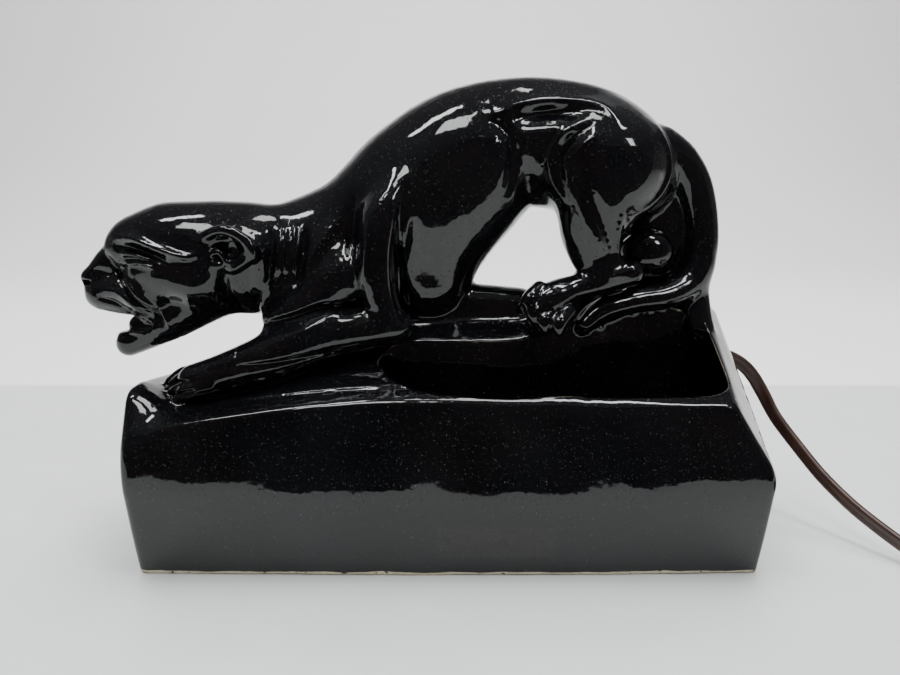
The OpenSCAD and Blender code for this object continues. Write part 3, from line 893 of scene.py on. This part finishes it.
def make_ceramic():
    mesh, points = ceramic_mesh()
    # the rim mask: thin glaze over the planter's rim, and where the rim's highlight is painted in cream
    rim = rim_mask(points).astype(np.float32)
    mesh.attributes.new("rim", "FLOAT", "POINT").data.foreach_set("value", rim)
    casting = place_piece("ceramic_casting", mesh, "black_glaze", "lamp")
    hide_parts("rock_base", "panther_figure")


make_ceramic()


# ---------------------------------------------------------------- studio

TABLE_BACK = 0.195         # where the pale table gives way to the white sweep


def table_material():
    """Pale table near the lamp and the white sweep behind."""
    n = Nodes("pale_table")
    split = n.add("SeparateXYZ")
    n.link(n.place(), split.inputs[0])
    y = n.math("ADD", split.outputs["Y"], 0.5)
    table = n.ramp(n.noise(30, 4), (0.3, (0.64, 0.66, 0.655)), (0.7, (0.67, 0.69, 0.685)))
    behind = n.ramp(y, (0.5 + TABLE_BACK - 0.002, 0.0), (0.5 + TABLE_BACK + 0.002, 1.0))
    n.to(n.mix(behind, table, (0.93, 0.935, 0.93)), "Base Color")
    n.set(Roughness=0.4)
    return n.material


def dark_card():
    """A dark card in front, seen only in reflections, as a studio uses to shape them."""
    n = Nodes("dark_card")
    n.to(n.ramp(n.noise(9, 2), (0.4, (0.012, 0.012, 0.013)), (0.65, (0.05, 0.028, 0.022))), "Base Color")
    n.set(Roughness=1.0)
    half, height, place = 0.7, 0.24, -0.175
    mesh = bpy.data.meshes.new("dark_card")
    mesh.from_pydata([(-half, place, 0), (half, place, 0), (half, place, height), (-half, place, height)],
                     [], [(0, 1, 2, 3)])
    mesh.materials.append(n.material)
    card = bpy.data.objects.new("dark_card", mesh)
    bpy.context.scene.collection.objects.link(card)
    card.visible_camera = card.visible_diffuse = card.visible_shadow = card.visible_transmission = False


def sweep():
    """One sheet: flat under the lamp, curving up into the wall behind."""
    back, radius, top = 0.75, 0.5, 1.7
    profile = [(-1.6, 0.0), (-0.4, 0.0), (0.25, 0.0)]
    for i in range(13):
        angle = math.pi / 2 * i / 12
        profile.append((back + radius * math.sin(angle), radius * (1 - math.cos(angle))))
    profile.append((back + radius, top))
    points = [(x, y, z) for y, z in profile for x in (-2.2, 2.2)]
    faces = [(2 * i, 2 * i + 1, 2 * i + 3, 2 * i + 2) for i in range(len(profile) - 1)]
    mesh = bpy.data.meshes.new("sweep")
    mesh.from_pydata(points, [], faces)
    mesh.polygons.foreach_set("use_smooth", [True] * len(mesh.polygons))
    mesh.materials.append(table_material())
    plane = bpy.data.objects.new("sweep", mesh)
    bpy.context.scene.collection.objects.link(plane)


sweep()
dark_card()
fill = add_area("fill", (0.0, 0.35, 1.2), (0, 0.25, 0), (1.8, 0.9), 30, (1.0, 1.0, 0.99))
fill.visible_glossy = False
add_area("panel", (0.10, -0.02, 1.15), (0.02, 0, 0.1), (0.5, 0.16), 3.0, (1.0, 1.0, 1.0))
add_area("strip_left", (-0.35, -0.18, 1.0), (0, 0, 0.05), (0.10, 0.4), 3.0, (0.97, 0.98, 1.0))
add_area("strip_right", (0.30, -0.22, 1.0), (0, 0, 0.05), (0.10, 0.4), 3.0, (0.97, 0.98, 1.0))
add_area("softbox", (-0.15, -0.45, 0.85), (0, 0, 0.1), (0.26, 0.18), 2.0, (0.98, 0.99, 1.0))
add_area("window", (0.55, -0.55, 0.65), (0.02, 0, 0.1), (0.14, 0.22), 1.6, (0.95, 0.98, 1.0))
make_world()
